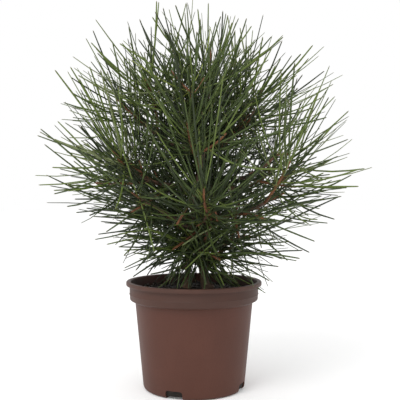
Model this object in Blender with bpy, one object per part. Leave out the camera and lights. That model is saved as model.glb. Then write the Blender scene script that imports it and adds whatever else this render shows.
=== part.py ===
"""A young umbrella pine growing in a plastic nursery pot.

The origin is the middle of the pot's flat underside, +Z is up, and the side seen first faces -Y. A trunk
runs up through a round crown, with a second stem beside it. Boughs leave the two in four tiers, and each
bough carries one mass of needles, as the tips of trunk and second stem do. A mass is a stem with side
twigs that end in sprays, and a spray is a slim core whose faces are drawn out into needles. Each mass
keeps to its own share of the crown.
"""

import math
import random
from collections import namedtuple

import bmesh
import bpy
import numpy as np
from mathutils import Matrix, Vector

SEED = 17
GAP = 0.0003
UP = Vector((0, 0, 1))
MERGE_DISTANCE = 1e-6
SHARP_ANGLE = math.radians(35)

# Pot
POT_HEIGHT = 0.1172
LIP_RADIUS = 0.0750
LIP_THICKNESS = 0.0046
LIP_CHAMFER = LIP_THICKNESS / 4
BAND_RADIUS = 0.0716
BAND_FOOT_RADIUS = 0.0708
BAND_FOOT_HEIGHT = 0.0975
BODY_TOP_RADIUS = 0.0650
BODY_TOP_HEIGHT = 0.0945
FOOT_RADIUS = 0.0562
FOOT_ROUND = 0.0040
WALL = 0.0018
FLOOR = 0.0025
POT_STEPS = 30
NOTCH_WIDTH = 0.0190
NOTCH_HEIGHT = 0.0090
NOTCH_DEPTH = 0.0120
NOTCH_CORNER = 0.0030
NOTCH_CORNER_STEPS = 2
NOTCH_COUNT = 4
NOTCH_FIRST = math.radians(-111.5)
SOIL_HEIGHT = 0.1080
SOIL_EDGE_DROP = 0.0020
SOIL_FLAT_SHARE = 0.62

# Trunk and second stem
TRUNK_FOOT = Vector((0.0145, 0.0, SOIL_HEIGHT + GAP))
TRUNK_TIP = Vector((0.0158, 0.0020, 0.3250))
TRUNK_SWAY = 0.0080
TRUNK_SWAY_POWER = 0.7
TRUNK_FOOT_RADIUS = 0.0044
TRUNK_TIP_RADIUS = 0.0019
TRUNK_FLARE = 0.0042
SECOND_FOOT = Vector((-0.0078, 0.0020, SOIL_HEIGHT + GAP))
SECOND_BEND = Vector((-0.0040, -0.0020, 0.2050))
SECOND_FOOT_RADIUS = 0.0034
SECOND_FLARE = 0.0024
FLARE_HEIGHT = 0.0060
FOOT_LIFT = UP * 0.0015
FLARE_CROWDING = 1.6
STEM_POINTS = 12
STEM_RESOLUTION = 3
BOUGH_RESOLUTION = 1

# Crown
CROWN = Vector((0.0067, 0.0, 0.2506))
CROWN_REACH = 0.1790
CROWN_LOW_REACH = 0.1530
CROWN_LOW_LEAN = 0.0150
CROWN_LOW_FROM = math.radians(-8)
CROWN_LOW_TO = math.radians(-32)

# Boughs, in tiers. Each tier says how many boughs it has, the azimuth of its first one and the step to
# the next, the height at which they leave, where their masses' tips lie as an elevation from the crown's
# middle, how steeply those masses rise, and the length of their stems. Angles are in degrees.
Tier = namedtuple("Tier", "name count first step leave elevation rise stem")
TIERS = (
    Tier("foot", 3, -36, 144, 0.130, -70, 24, 0.018),
    Tier("low", 5, -72, 72, 0.147, -38, 20, 0.040),
    Tier("skirt", 7, -87, 360 / 7, 0.181, -16, 26, 0.040),
    Tier("belt", 6, -90, 60, 0.217, 9, 40, 0.040),
    Tier("shoulder", 5, -30, 72, 0.262, 45, 62, 0.040),
)
SECOND_STEM_TIERS = ("foot", "low", "skirt")
SECOND_STEM_FACES = math.radians(200)
SECOND_STEM_SHARE = math.cos(math.radians(62))
SECOND_STEM_MASS = "belt_1"
TIER_STAGGER = 0.0060
ANGLE_JITTER = math.radians(4)
BOUGH_RADIUS = 0.0024
BOUGH_TIP_RADIUS = 0.0016
BOUGH_POINTS = 4
BOUGH_END = 0.0060
BOUGH_SWEEP = 0.36

# Masses of needles
TIP_INSET = 0.0560
TOP_STEM_LENGTH = 0.0400
STEM_TIP_RADIUS = 0.0012
TWIG_SIDES = 5
SIDE_TWIGS = 3
SIDE_TWIG_TRIES = 12
SIDE_TWIG_FROM = (0.22, 0.52)
SIDE_TWIG_LENGTH = 0.0330
SIDE_TWIG_LENGTH_RANGE = (0.85, 1.1)
SIDE_TWIG_SPREAD = math.radians(44)
SIDE_TWIG_SPREAD_RANGE = (0.8, 1.2)
SIDE_TWIG_TURN = 0.6
SIDE_TWIG_TAPER = 0.8
SIDE_TWIG_FREE_FROM = 0.25
SIDE_SHOOT_LEAN = 0.5
SPRAY_RADIUS = 0.0024
SPRAY_STRETCH = 2.3
REAR_SPRAY_AT = 0.0076
NEEDLE_LENGTH = 0.0640
NEEDLE_LENGTH_SPREAD = 0.10
NEEDLE_SHARES = (1.0, 0.8, 0.6)
NEEDLE_RADIUS = 0.0019
NEEDLE_BEND_AT = 0.56
NEEDLE_LEAN = 0.42
NEEDLE_CURL = 0.30
NEEDLE_LIFT = 0.10
NEEDLE_BACK_LIMIT = math.cos(math.radians(94))
REAR_BACK_LIMIT = math.cos(math.radians(155))
NEEDLE_CLEARANCE = 0.0005
ROUND_OFF = 1.02
POT_CLEARANCE = 0.0030
OWNERS_APART = 10


def clear_scene():
    """Removes whatever the scene holds."""
    for obj in list(bpy.data.objects):
        bpy.data.objects.remove(obj)


def material(name, colour, roughness):
    """A plain coloured surface."""
    made = bpy.data.materials.new(name)
    made.use_nodes = True
    shader = made.node_tree.nodes["Principled BSDF"]
    shader.inputs["Base Color"].default_value = (*colour, 1)
    shader.inputs["Roughness"].default_value = roughness
    shader.inputs["Metallic"].default_value = 0
    return made


def add_object(name, mesh, finish, collection=None):
    """An object for the mesh, in the scene or in the given collection."""
    obj = bpy.data.objects.new(name, mesh)
    mesh.materials.clear()
    mesh.materials.append(finish)
    (collection or bpy.context.scene.collection).objects.link(obj)
    return obj


def hidden(helper):
    """Marks an object as a helper that isn't part of the model."""
    helper.hide_render = True
    helper.display_type = "WIRE"
    return helper


def mesh_from(bm, name):
    """The bmesh as a mesh with its doubles merged, shaded smooth with sharp edges kept."""
    bmesh.ops.remove_doubles(bm, verts=bm.verts, dist=MERGE_DISTANCE)
    bmesh.ops.recalc_face_normals(bm, faces=bm.faces)
    mesh = bpy.data.meshes.new(name)
    bm.to_mesh(mesh)
    bm.free()
    mesh.shade_smooth()
    mesh.set_sharp_from_angle(angle=SHARP_ANGLE)
    return mesh


def evaluated_mesh(obj, name):
    """What the object's curve or modifiers make, as a mesh of its own."""
    bpy.context.view_layer.update()
    graph = bpy.context.evaluated_depsgraph_get()
    made = bpy.data.meshes.new_from_object(obj.evaluated_get(graph))
    bm = bmesh.new()
    bm.from_mesh(made)
    bpy.data.meshes.remove(made)
    return mesh_from(bm, name)


def turned(name, profile, finish):
    """A solid of revolution. The profile of (radius, height) runs down its outer side."""
    bm = bmesh.new()
    points = [bm.verts.new((radius, 0, height)) for radius, height in profile]
    for first, second in zip(points, points[1:]):
        bm.edges.new((first, second))
    mesh = bpy.data.meshes.new(name)
    bm.to_mesh(mesh)
    bm.free()
    obj = add_object(name, mesh, finish)
    screw = obj.modifiers.new("Turn", "SCREW")
    screw.steps = POT_STEPS
    screw.render_steps = POT_STEPS
    screw.use_merge_vertices = True
    screw.merge_threshold = MERGE_DISTANCE
    return obj


def inner_wall(inset=0.0):
    """The inside of the pot from its floor's middle to just under the rim, moved inwards by the inset."""
    return [
        (0.0, FLOOR + inset),
        (FOOT_RADIUS - WALL - inset, FLOOR + inset),
        (BODY_TOP_RADIUS - WALL - inset, BODY_TOP_HEIGHT + inset),
        (BAND_FOOT_RADIUS - WALL - inset, BAND_FOOT_HEIGHT + inset),
    ]


def pot_profile():
    """The pot's outline from the inside of its floor, up over the lip and down to its underside."""
    lip_foot = POT_HEIGHT - LIP_THICKNESS
    foot = [
        (
            FOOT_RADIUS - FOOT_ROUND * (1 - math.cos(math.radians(angle))),
            FOOT_ROUND * (1 - math.sin(math.radians(angle))),
        )
        for angle in (0, 30, 60, 90)
    ]
    return [
        *inner_wall(),
        (BAND_RADIUS - WALL, POT_HEIGHT - LIP_CHAMFER),
        (BAND_RADIUS - WALL + LIP_CHAMFER, POT_HEIGHT),
        (LIP_RADIUS - LIP_CHAMFER, POT_HEIGHT),
        (LIP_RADIUS, POT_HEIGHT - LIP_CHAMFER),
        (LIP_RADIUS, lip_foot + LIP_CHAMFER),
        (LIP_RADIUS - LIP_CHAMFER, lip_foot),
        (BAND_RADIUS, lip_foot),
        (BAND_FOOT_RADIUS, BAND_FOOT_HEIGHT),
        (BODY_TOP_RADIUS, BODY_TOP_HEIGHT),
        *foot,
        (0.0, 0.0),
    ]


def notch_cutter(number, finish, collection):
    """A block with rounded corners that stands where a notch is cut through the pot's foot."""
    bm = bmesh.new()
    bmesh.ops.create_cube(bm, size=1)
    bmesh.ops.scale(bm, vec=(2 * NOTCH_DEPTH, NOTCH_WIDTH, 2 * NOTCH_HEIGHT), verts=bm.verts)
    lengthways = [edge for edge in bm.edges if edge.verts[0].co.yz == edge.verts[1].co.yz]
    bmesh.ops.bevel(
        bm,
        geom=lengthways,
        offset=NOTCH_CORNER,
        segments=NOTCH_CORNER_STEPS,
        affect="EDGES",
        profile=0.5,
    )
    turn = Matrix.Rotation(NOTCH_FIRST + math.tau * number / NOTCH_COUNT, 4, "Z")
    place = turn @ Matrix.Translation((FOOT_RADIUS, 0, 0))
    bmesh.ops.transform(bm, matrix=place, verts=bm.verts)
    name = f"notch_cutter_{number + 1}"
    return hidden(add_object(name, mesh_from(bm, name), finish, collection))


def make_pot(finish):
    """A tapered pot with a band below a proud lip, a flat underside and notches in its foot."""
    pot = turned("pot", pot_profile(), finish)
    cutters = bpy.data.collections.new("notch_cutters")
    bpy.context.scene.collection.children.link(cutters)
    for number in range(NOTCH_COUNT):
        notch_cutter(number, finish, cutters)
    cut = pot.modifiers.new("Notches", "BOOLEAN")
    cut.operation = "DIFFERENCE"
    cut.operand_type = "COLLECTION"
    cut.collection = cutters
    return pot


def make_soil(finish):
    """The potting soil, which fills the pot to a little below its rim."""
    edge_height = SOIL_HEIGHT - SOIL_EDGE_DROP
    wall = inner_wall(GAP)
    edge_radius = wall[-1][0]
    top = [
        (0.0, SOIL_HEIGHT),
        (edge_radius * SOIL_FLAT_SHARE, SOIL_HEIGHT),
        (edge_radius, edge_height),
    ]
    return turned("soil", top + wall[::-1], finish)


def limb_mesh(name, points, radii, resolution):
    """A tapering limb along the points, cut flat at both ends."""
    data = bpy.data.curves.new(name, "CURVE")
    data.dimensions = "3D"
    data.bevel_depth = 1.0
    data.bevel_resolution = resolution
    data.use_fill_caps = True
    spline = data.splines.new("POLY")
    spline.points.add(len(points) - 1)
    for knot, point, radius in zip(spline.points, points, radii):
        knot.co = (*point, 1)
        knot.radius = radius
    guide = bpy.data.objects.new(name, data)
    bpy.context.scene.collection.objects.link(guide)
    mesh = evaluated_mesh(guide, name)
    bpy.data.objects.remove(guide)
    bpy.data.curves.remove(data)
    return mesh


class Stem:
    """The trunk or the second stem: a rising chain of points with the radius at each."""

    def __init__(self, name, points, foot_radius, tip_radius, flare):
        self.name = name
        self.points = points
        length = points[-1].z - points[0].z
        self.radii = []
        for point in points:
            rise = point.z - points[0].z
            taper = foot_radius + (tip_radius - foot_radius) * rise / length
            self.radii.append(taper + flare * math.exp(-rise / FLARE_HEIGHT))

    def at(self, height):
        """The middle of the stem at this height."""
        for lower, upper in zip(self.points, self.points[1:]):
            if height <= upper.z:
                break
        return lower.lerp(upper, (height - lower.z) / (upper.z - lower.z))

    def tip_way(self):
        """The direction in which the tip points."""
        return (self.points[-1] - self.points[-2]).normalized()


def stem_shares():
    """Shares of the way up a stem, closest together in its flare."""
    return [(number / (STEM_POINTS - 1)) ** FLARE_CROWDING for number in range(STEM_POINTS)]


def trunk():
    """The trunk, which sways a little to the left on its way up."""
    points = [TRUNK_FOOT]
    for share in stem_shares():
        sway = TRUNK_SWAY * math.sin(math.pi * share**TRUNK_SWAY_POWER)
        points.append((TRUNK_FOOT + FOOT_LIFT).lerp(TRUNK_TIP, share) - Vector((sway, sway / 4, 0)))
    return Stem("trunk", points, TRUNK_FOOT_RADIUS, TRUNK_TIP_RADIUS, TRUNK_FLARE)


def second_stem(mass):
    """The second stem, which bends forwards to the mass on its tip."""
    end = mass.start - mass.growth * GAP
    last = end - mass.growth * BOUGH_END
    points = [sweep(SECOND_FOOT + FOOT_LIFT, SECOND_BEND, last, share) for share in stem_shares()]
    points = [SECOND_FOOT, *points, end]
    return Stem("second_stem", points, SECOND_FOOT_RADIUS, BOUGH_TIP_RADIUS, SECOND_FLARE)


def sweep(start, bend, end, share):
    """A point on the curve from start to end that heads for the bend between them."""
    rest = 1 - share
    return start * rest * rest + bend * 2 * share * rest + end * share * share


def make_stem(stem, finish, limbs):
    """The stem itself, and a slightly fatter copy that clears the feet of its boughs."""
    add_object(stem.name, limb_mesh(stem.name, stem.points, stem.radii, STEM_RESOLUTION), finish)
    limbs.add(stem.points, stem.radii)
    wider = [radius + GAP for radius in stem.radii]
    name = f"{stem.name}_clearance"
    return hidden(add_object(name, limb_mesh(name, stem.points, wider, STEM_RESOLUTION), finish))


def direction(azimuth, elevation):
    """The unit vector at this azimuth from +X and this elevation."""
    flat = math.cos(elevation)
    return Vector((flat * math.cos(azimuth), flat * math.sin(azimuth), math.sin(elevation)))


def crown_reach(towards):
    """How far the crown reaches from its middle. It is shorter where it draws in above the pot."""
    elevation = math.asin(max(-1.0, min(1.0, towards.z)))
    share = (CROWN_LOW_FROM - elevation) / (CROWN_LOW_FROM - CROWN_LOW_TO)
    share = max(0.0, min(1.0, share))
    smooth = share * share * (3 - 2 * share)
    low_reach = CROWN_LOW_REACH + CROWN_LOW_LEAN * towards.x
    return CROWN_REACH + (low_reach - CROWN_REACH) * smooth


class Limbs:
    """Straight pieces of limb or needle with their radii, to keep later ones clear of."""

    def __init__(self):
        self.starts = np.empty((0, 3))
        self.ends = np.empty((0, 3))
        self.radii = np.empty(0)
        self.owners = np.empty(0, dtype=int)

    def add(self, points, radii, owner=0):
        """Keeps a chain of points, each piece as thick as its thicker end."""
        path = np.array([tuple(point) for point in points])
        thick = np.maximum(radii[:-1], radii[1:]) * ROUND_OFF
        self.starts = np.vstack([self.starts, path[:-1]])
        self.ends = np.vstack([self.ends, path[1:]])
        self.radii = np.concatenate([self.radii, thick])
        self.owners = np.concatenate([self.owners, np.full(len(thick), owner)])

    def clear_of(self, points, radius, ignored):
        """Whether a chain of this radius stays clear of every piece, apart from the ignored owners'."""
        others = ~np.isin(self.owners, ignored)
        starts = self.starts[others]
        along = self.ends[others] - starts
        least = self.radii[others] + radius + NEEDLE_CLEARANCE
        path = np.array([tuple(point) for point in points])
        return all(
            (nearest(first, second, starts, along) > least).all()
            for first, second in zip(path, path[1:])
        )


def nearest(first, second, starts, along):
    """The distance from one straight piece to each of the others."""
    own = second - first
    apart = first - starts
    own_square = own @ own
    along_square = np.einsum("ij,ij->i", along, along)
    along_apart = np.einsum("ij,ij->i", along, apart)
    own_apart = apart @ own
    both = along @ own
    spread = own_square * along_square - both * both
    share = (both * along_apart - own_apart * along_square) / np.maximum(spread, 1e-18)
    share = np.clip(share, 0, 1)
    other = np.clip((both * share + along_apart) / along_square, 0, 1)
    share = np.clip((both * other - own_apart) / own_square, 0, 1)
    return np.linalg.norm(apart + np.outer(share, own) - other[:, None] * along, axis=1)


class Mass:
    """One mass of needles: where its stem starts, which way it grows and where its leading shoot ends."""

    def __init__(self, name, tip, growth, stem_length):
        self.name = name
        self.tip = tip
        self.growth = growth
        self.start = tip - growth * stem_length


def lay_out(rng):
    """The two stems, the masses of every tier and of the trunk's tip, and the boughs that carry them."""
    main_stem = trunk()
    masses = []
    leaving = []
    for tier in TIERS:
        for number in range(tier.count):
            angles = (tier.first + tier.step * number, tier.elevation, tier.rise)
            azimuth, up, rise = (
                math.radians(angle) + rng.uniform(-ANGLE_JITTER, ANGLE_JITTER) for angle in angles
            )
            towards = direction(azimuth, up)
            tip = CROWN + towards * (crown_reach(towards) - TIP_INSET)
            mass = Mass(f"{tier.name}_{number + 1}", tip, direction(azimuth, rise), tier.stem)
            masses.append(mass)
            faces_second = math.cos(azimuth - SECOND_STEM_FACES) > SECOND_STEM_SHARE
            on_second = tier.name in SECOND_STEM_TIERS and faces_second
            leaving.append((mass, tier.leave + TIER_STAGGER * (number % 3 - 1), on_second))
    side_stem = second_stem(next(mass for mass in masses if mass.name == SECOND_STEM_MASS))
    boughs = [
        (mass, (side_stem if on_second else main_stem).at(height))
        for mass, height, on_second in leaving
        if mass.name != SECOND_STEM_MASS
    ]
    way = main_stem.tip_way()
    masses.append(Mass("top", TRUNK_TIP + way * (TOP_STEM_LENGTH + GAP), way, TOP_STEM_LENGTH))
    return main_stem, side_stem, masses, boughs


def bough_path(foot, mass):
    """A bough's points, from its stem's middle in a rising sweep to the start of its mass."""
    end = mass.start - mass.growth * GAP
    last = end - mass.growth * BOUGH_END
    bend = last - mass.growth * (last - foot).length * BOUGH_SWEEP
    swept = [sweep(foot, bend, last, number / (BOUGH_POINTS - 1)) for number in range(BOUGH_POINTS)]
    return [*swept, end]


def make_bough(mass, foot, clearances, finish, limbs):
    """One bough, its foot cut to the round of its stem."""
    name = f"bough_{mass.name}"
    points = bough_path(foot, mass)
    taper = (BOUGH_TIP_RADIUS - BOUGH_RADIUS) / (len(points) - 1)
    radii = [BOUGH_RADIUS + taper * number for number in range(len(points))]
    bough = add_object(name, limb_mesh(name, points, radii, BOUGH_RESOLUTION), finish)
    for clearance in clearances:
        cut = bough.modifiers.new("Foot", "BOOLEAN")
        cut.operation = "DIFFERENCE"
        cut.object = clearance
    limbs.add(points, radii)
    return bough


def clear_of_pot(point):
    """Whether the point is outside the pot, above it, or in its mouth above the soil."""
    out = math.hypot(point.x, point.y)
    if out > LIP_RADIUS + POT_CLEARANCE or point.z > POT_HEIGHT + POT_CLEARANCE:
        return True
    return out < BAND_RADIUS - WALL - POT_CLEARANCE and point.z > SOIL_HEIGHT + POT_CLEARANCE


class Space:
    """The share of the crown that belongs to one mass, and the limbs that cross it."""

    def __init__(self, mass, masses, limbs):
        self.mass = mass
        self.others = [other for other in masses if other is not mass]
        self.limbs = limbs

    def holds(self, point, margin):
        """Whether the point lies on the mass's own side of every other mass, by this margin."""
        for other in self.others:
            apart = other.tip - self.mass.tip
            if (point - (self.mass.tip + other.tip) / 2).dot(apart) > -margin * apart.length:
                return False
        return True

    def fits(self, points, radius, ignored):
        """Whether a twig or needle along these points stays in the space, clear of pot and limbs."""
        for first, second in zip(points, points[1:]):
            for share in (0.5, 1.0):
                point = first.lerp(second, share)
                if not clear_of_pot(point) or not self.holds(point, radius + GAP):
                    return False
        return self.limbs.clear_of(points, radius, ignored)


def rod(name, start, end, start_radius, end_radius, finish, collection):
    """A short straight twig."""
    way = end - start
    bm = bmesh.new()
    place = Matrix.Translation((start + end) / 2) @ way.to_track_quat("Z", "Y").to_matrix().to_4x4()
    bmesh.ops.create_cone(
        bm,
        cap_ends=True,
        segments=TWIG_SIDES,
        radius1=start_radius,
        radius2=end_radius,
        depth=way.length,
        matrix=place,
    )
    return add_object(name, mesh_from(bm, name), finish, collection)


def needle_path(root, way, growth, length):
    """The root, bend and tip of a needle that curls forwards along the shoot and a little upwards."""
    bend = root + way * length * NEEDLE_BEND_AT
    onward = (way + growth * NEEDLE_CURL + UP * NEEDLE_LIFT).normalized()
    return root, bend, bend + onward * length * (1 - NEEDLE_BEND_AT)


def within_crown(points):
    """Whether the needle's tip is inside the crown's outline."""
    away = points[-1] - CROWN
    return away.length < crown_reach(away.normalized())


Shoot = namedtuple("Shoot", "middle growth back_limit")


def spray(name, shoot, space, owners, rng, finish, collection):
    """A slim core with a needle drawn out of each face that has room for one."""
    middle, growth, back_limit = shoot
    turn = growth.to_track_quat("Z", "Y").to_matrix().to_4x4()
    spin = Matrix.Rotation(rng.uniform(0, math.tau), 4, "Z")
    stretch = Matrix.Scale(SPRAY_STRETCH, 4, UP)
    bm = bmesh.new()
    bmesh.ops.create_icosphere(
        bm,
        subdivisions=1,
        radius=SPRAY_RADIUS,
        matrix=Matrix.Translation(middle) @ turn @ spin @ stretch,
    )
    for face in list(bm.faces):
        root = face.calc_center_median()
        full = NEEDLE_LENGTH * (1 + rng.uniform(-NEEDLE_LENGTH_SPREAD, NEEDLE_LENGTH_SPREAD))
        if (root - middle).normalized().dot(growth) < back_limit:
            continue
        way = (face.normal + growth * NEEDLE_LEAN).normalized()
        for share in NEEDLE_SHARES:
            path = needle_path(root, way, growth, full * share)
            if within_crown(path) and space.fits(path, NEEDLE_RADIUS, owners):
                draw_out(bm, face, path, way)
                space.limbs.add(path, np.full(3, NEEDLE_RADIUS), owners[-1])
                break
    return add_object(name, mesh_from(bm, name), finish, collection)


def draw_out(bm, face, path, way):
    """Draws one face of the core out into a three-sided needle."""
    made = bmesh.ops.extrude_discrete_faces(bm, faces=[face])
    outer = made["faces"][0]
    root, bend, tip = path
    for vert in outer.verts:
        aside = vert.co - root
        aside -= way * aside.dot(way)
        vert.co = bend + aside.normalized() * NEEDLE_RADIUS
    point = bmesh.ops.poke(bm, faces=[outer])["verts"][0]
    point.co = tip


def side_twig(number, space, wood, rng):
    """The start and end of a side twig with room for its spray, and the way that grows, or nothing."""
    mass = space.mass
    turn = mass.growth.to_track_quat("Z", "Y")
    for _ in range(SIDE_TWIG_TRIES):
        start = mass.start.lerp(mass.tip, rng.uniform(*SIDE_TWIG_FROM))
        around = math.tau * number / SIDE_TWIGS + rng.uniform(-SIDE_TWIG_TURN, SIDE_TWIG_TURN)
        spread = SIDE_TWIG_SPREAD * rng.uniform(*SIDE_TWIG_SPREAD_RANGE)
        way = turn @ direction(around, math.pi / 2 - spread)
        end = start + way * SIDE_TWIG_LENGTH * rng.uniform(*SIDE_TWIG_LENGTH_RANGE)
        growth = (way + mass.growth * SIDE_SHOOT_LEAN).normalized()
        free = (start.lerp(end, SIDE_TWIG_FREE_FROM), end, end + growth * SPRAY_RADIUS * SPRAY_STRETCH)
        if space.fits(free, SPRAY_RADIUS, (wood,)):
            return start, end, growth
    return None


def grow_shoots(name, space, wood, rng, finish, collection):
    """The shoots of a mass that carry its sprays: its tip, its side twigs and one near its start."""
    mass = space.mass
    shoots = [Shoot(mass.tip, mass.growth, NEEDLE_BACK_LIMIT)]
    for number in range(SIDE_TWIGS):
        found = side_twig(number, space, wood, rng)
        if found is None:
            continue
        start, end, growth = found
        tip_radius = STEM_TIP_RADIUS * SIDE_TWIG_TAPER
        rod(f"{name}_twig", start, end, STEM_TIP_RADIUS, tip_radius, finish, collection)
        space.limbs.add((start, end), (STEM_TIP_RADIUS, STEM_TIP_RADIUS), wood)
        shoots.append(Shoot(end, growth, NEEDLE_BACK_LIMIT))
    rear = mass.start + mass.growth * REAR_SPRAY_AT
    return [*shoots, Shoot(rear, mass.growth, REAR_BACK_LIMIT)]


def join(obj, collection, name):
    """Joins the collection's objects to this one as one solid, and removes them."""
    union = obj.modifiers.new("Join", "BOOLEAN")
    union.operation = "UNION"
    union.operand_type = "COLLECTION"
    union.collection = collection
    union.solver = "MANIFOLD"
    finish = obj.data.materials[0]
    mesh = evaluated_mesh(obj, name)
    obj.modifiers.clear()
    obj.data = mesh
    mesh.materials.clear()
    mesh.materials.append(finish)
    for helper in list(collection.objects):
        bpy.data.objects.remove(helper)
    bpy.data.collections.remove(collection)


def make_mass(mass, masses, limbs, finish, wood):
    """A mass of needles: stem, side twigs and sprays joined into one solid."""
    rng = random.Random(f"{SEED} {mass.name}")
    name = f"needles_{mass.name}"
    space = Space(mass, masses, limbs)
    joined = bpy.data.collections.new(name)
    bpy.context.scene.collection.children.link(joined)
    stem = rod(name, mass.start, mass.tip, BOUGH_TIP_RADIUS, STEM_TIP_RADIUS, finish, None)
    limbs.add((mass.start, mass.tip), (BOUGH_TIP_RADIUS, STEM_TIP_RADIUS), wood)
    shoots = grow_shoots(name, space, wood, rng, finish, joined)
    for owner, shoot in enumerate(shoots, wood + 1):
        spray(f"{name}_spray", shoot, space, (wood, owner), rng, finish, joined)
    join(stem, joined, name)
    return stem


def main():
    clear_scene()
    rng = random.Random(SEED)
    plastic = material("pot_plastic", (0.092, 0.040, 0.030), 0.42)
    earth = material("potting_soil", (0.012, 0.009, 0.006), 0.95)
    bark = material("brown_bark", (0.105, 0.048, 0.026), 0.85)
    green = material("green_needle", (0.052, 0.082, 0.026), 0.50)
    limbs = Limbs()
    make_pot(plastic)
    make_soil(earth)
    main_stem, side_stem, masses, boughs = lay_out(rng)
    clearances = [make_stem(stem, bark, limbs) for stem in (main_stem, side_stem)]
    for mass, foot in boughs:
        make_bough(mass, foot, clearances, bark, limbs)
    for number, mass in enumerate(masses):
        make_mass(mass, masses, limbs, green, OWNERS_APART * (number + 1))


if __name__ == "__main__":
    main()
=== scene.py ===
"""Looks of a young umbrella pine in its nursery pot, laid out as an add-on.

The crown is grown again by the rule of the solids: the same stems, boughs and masses, with more and finer
shoots, and a whorl of long blunt needles at the end of each. The whorls that show most plainly stand at
places of their own. Everything is in metres, with the pot's flat underside at the origin.
"""

import math
import random
from collections import namedtuple

import bpy
import numpy as np
from bpy.props import FloatProperty, FloatVectorProperty, IntProperty, PointerProperty
from bpy.types import Operator, Panel, PropertyGroup
from mathutils import Matrix, Vector, noise


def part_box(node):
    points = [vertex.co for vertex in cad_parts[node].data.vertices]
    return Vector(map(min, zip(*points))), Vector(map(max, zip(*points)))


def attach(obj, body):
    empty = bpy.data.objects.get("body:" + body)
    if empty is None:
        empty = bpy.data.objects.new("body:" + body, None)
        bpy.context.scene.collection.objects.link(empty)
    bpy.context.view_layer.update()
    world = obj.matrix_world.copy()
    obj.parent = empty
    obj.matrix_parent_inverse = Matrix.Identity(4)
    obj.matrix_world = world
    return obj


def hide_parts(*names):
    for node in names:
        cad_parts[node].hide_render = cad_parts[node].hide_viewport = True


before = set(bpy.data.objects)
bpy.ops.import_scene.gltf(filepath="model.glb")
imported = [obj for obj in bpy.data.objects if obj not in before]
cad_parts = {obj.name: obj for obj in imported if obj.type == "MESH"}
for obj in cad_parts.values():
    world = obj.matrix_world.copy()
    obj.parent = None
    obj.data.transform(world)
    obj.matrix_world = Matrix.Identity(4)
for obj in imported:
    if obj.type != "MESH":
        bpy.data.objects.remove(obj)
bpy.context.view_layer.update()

bl_info = {
    "name": "Potted umbrella pine",
    "version": (1, 0, 0),
    "blender": (4, 5, 0),
    "location": "View3D > Sidebar > Pine",
    "description": "Builds the pot, soil, stems, shoots and needles of a young umbrella pine",
    "category": "Object",
}

NODES = list(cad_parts)
SEED = 17
GROWTH_SEED = 17
UP = Vector((0, 0, 1))

# Pot
POT_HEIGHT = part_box("pot")[1][2]
LIP_RADIUS = 0.0750
LIP_THICKNESS = 0.0046
LIP_ROUND = 0.0012
BAND_RADIUS = 0.0716
BAND_FOOT_RADIUS = 0.0708
BAND_FOOT_HEIGHT = 0.0975
BODY_TOP_RADIUS = 0.0650
BODY_TOP_HEIGHT = 0.0945
RIDGE_HEIGHT = 0.1035
RIDGE_PROUD = 0.0005
RIDGE_HALF = 0.0008
BAND_STEP = 0.0004
FOOT_RADIUS = 0.0562
FOOT_ROUND = 0.0040
WALL = 0.0018
FLOOR = 0.0025
POT_SIDES = 128
NOTCH_WIDTH = 0.0190
NOTCH_HEIGHT = 0.0090
NOTCH_DEPTH = 0.0120
NOTCH_CORNER = 0.0030
NOTCH_COUNT = 4
NOTCH_FIRST = math.radians(-111.5)
NOTCH_CORNER_STEPS = 5
POT_SMOOTH_ANGLE = math.radians(34)

# Soil
SOIL_HEIGHT = 0.1080
SOIL_EDGE_DROP = 0.0020
SOIL_GAP = 0.0003
SOIL_SIDES = 96
SOIL_RINGS = 22
SOIL_RELIEF = 0.0013
SOIL_GRAIN = (240, 240, 240)
SOIL_SMOOTH_BELOW = BAND_FOOT_HEIGHT + 0.0020
CRUMBS = 420
CRUMB_SIZES = (0.0007, 0.0022)
CRUMB_SHAPES = (0.6, 1.2)
CRUMB_RISE = 0.25
CRUMB_MARGIN = 0.0040

# Stems
GAP = 0.0003
TRUNK_FOOT = Vector((0.0145, 0.0, SOIL_HEIGHT + GAP))
TRUNK_TIP = Vector((0.0158, 0.0020, 0.3250))
TRUNK_SWAY = 0.0080
TRUNK_SWAY_POWER = 0.7
TRUNK_FOOT_RADIUS = 0.0044
TRUNK_TIP_RADIUS = 0.0019
TRUNK_FLARE = 0.0042
SECOND_FOOT = Vector((-0.0078, 0.0020, SOIL_HEIGHT + GAP))
SECOND_BEND = Vector((-0.0040, -0.0020, 0.2050))
SECOND_FOOT_RADIUS = 0.0034
SECOND_FLARE = 0.0024
FLARE_HEIGHT = 0.0060
FOOT_LIFT = UP * 0.0015
FLARE_CROWDING = 1.6
STEM_POINTS = 80
STEM_SIDES = 20
BARK_RELIEF = 0.00040
BARK_GRAIN = (420, 420, 150)
BARK_FROM = SOIL_HEIGHT + 0.0010

# Crown
CROWN = Vector((0.0067, 0, 0.2506))
CROWN_REACH = 0.1790
CROWN_LOW_REACH = 0.1530
CROWN_LOW_LEAN = 0.0150
CROWN_LOW_FROM = math.radians(-8)
CROWN_LOW_TO = math.radians(-32)

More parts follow.
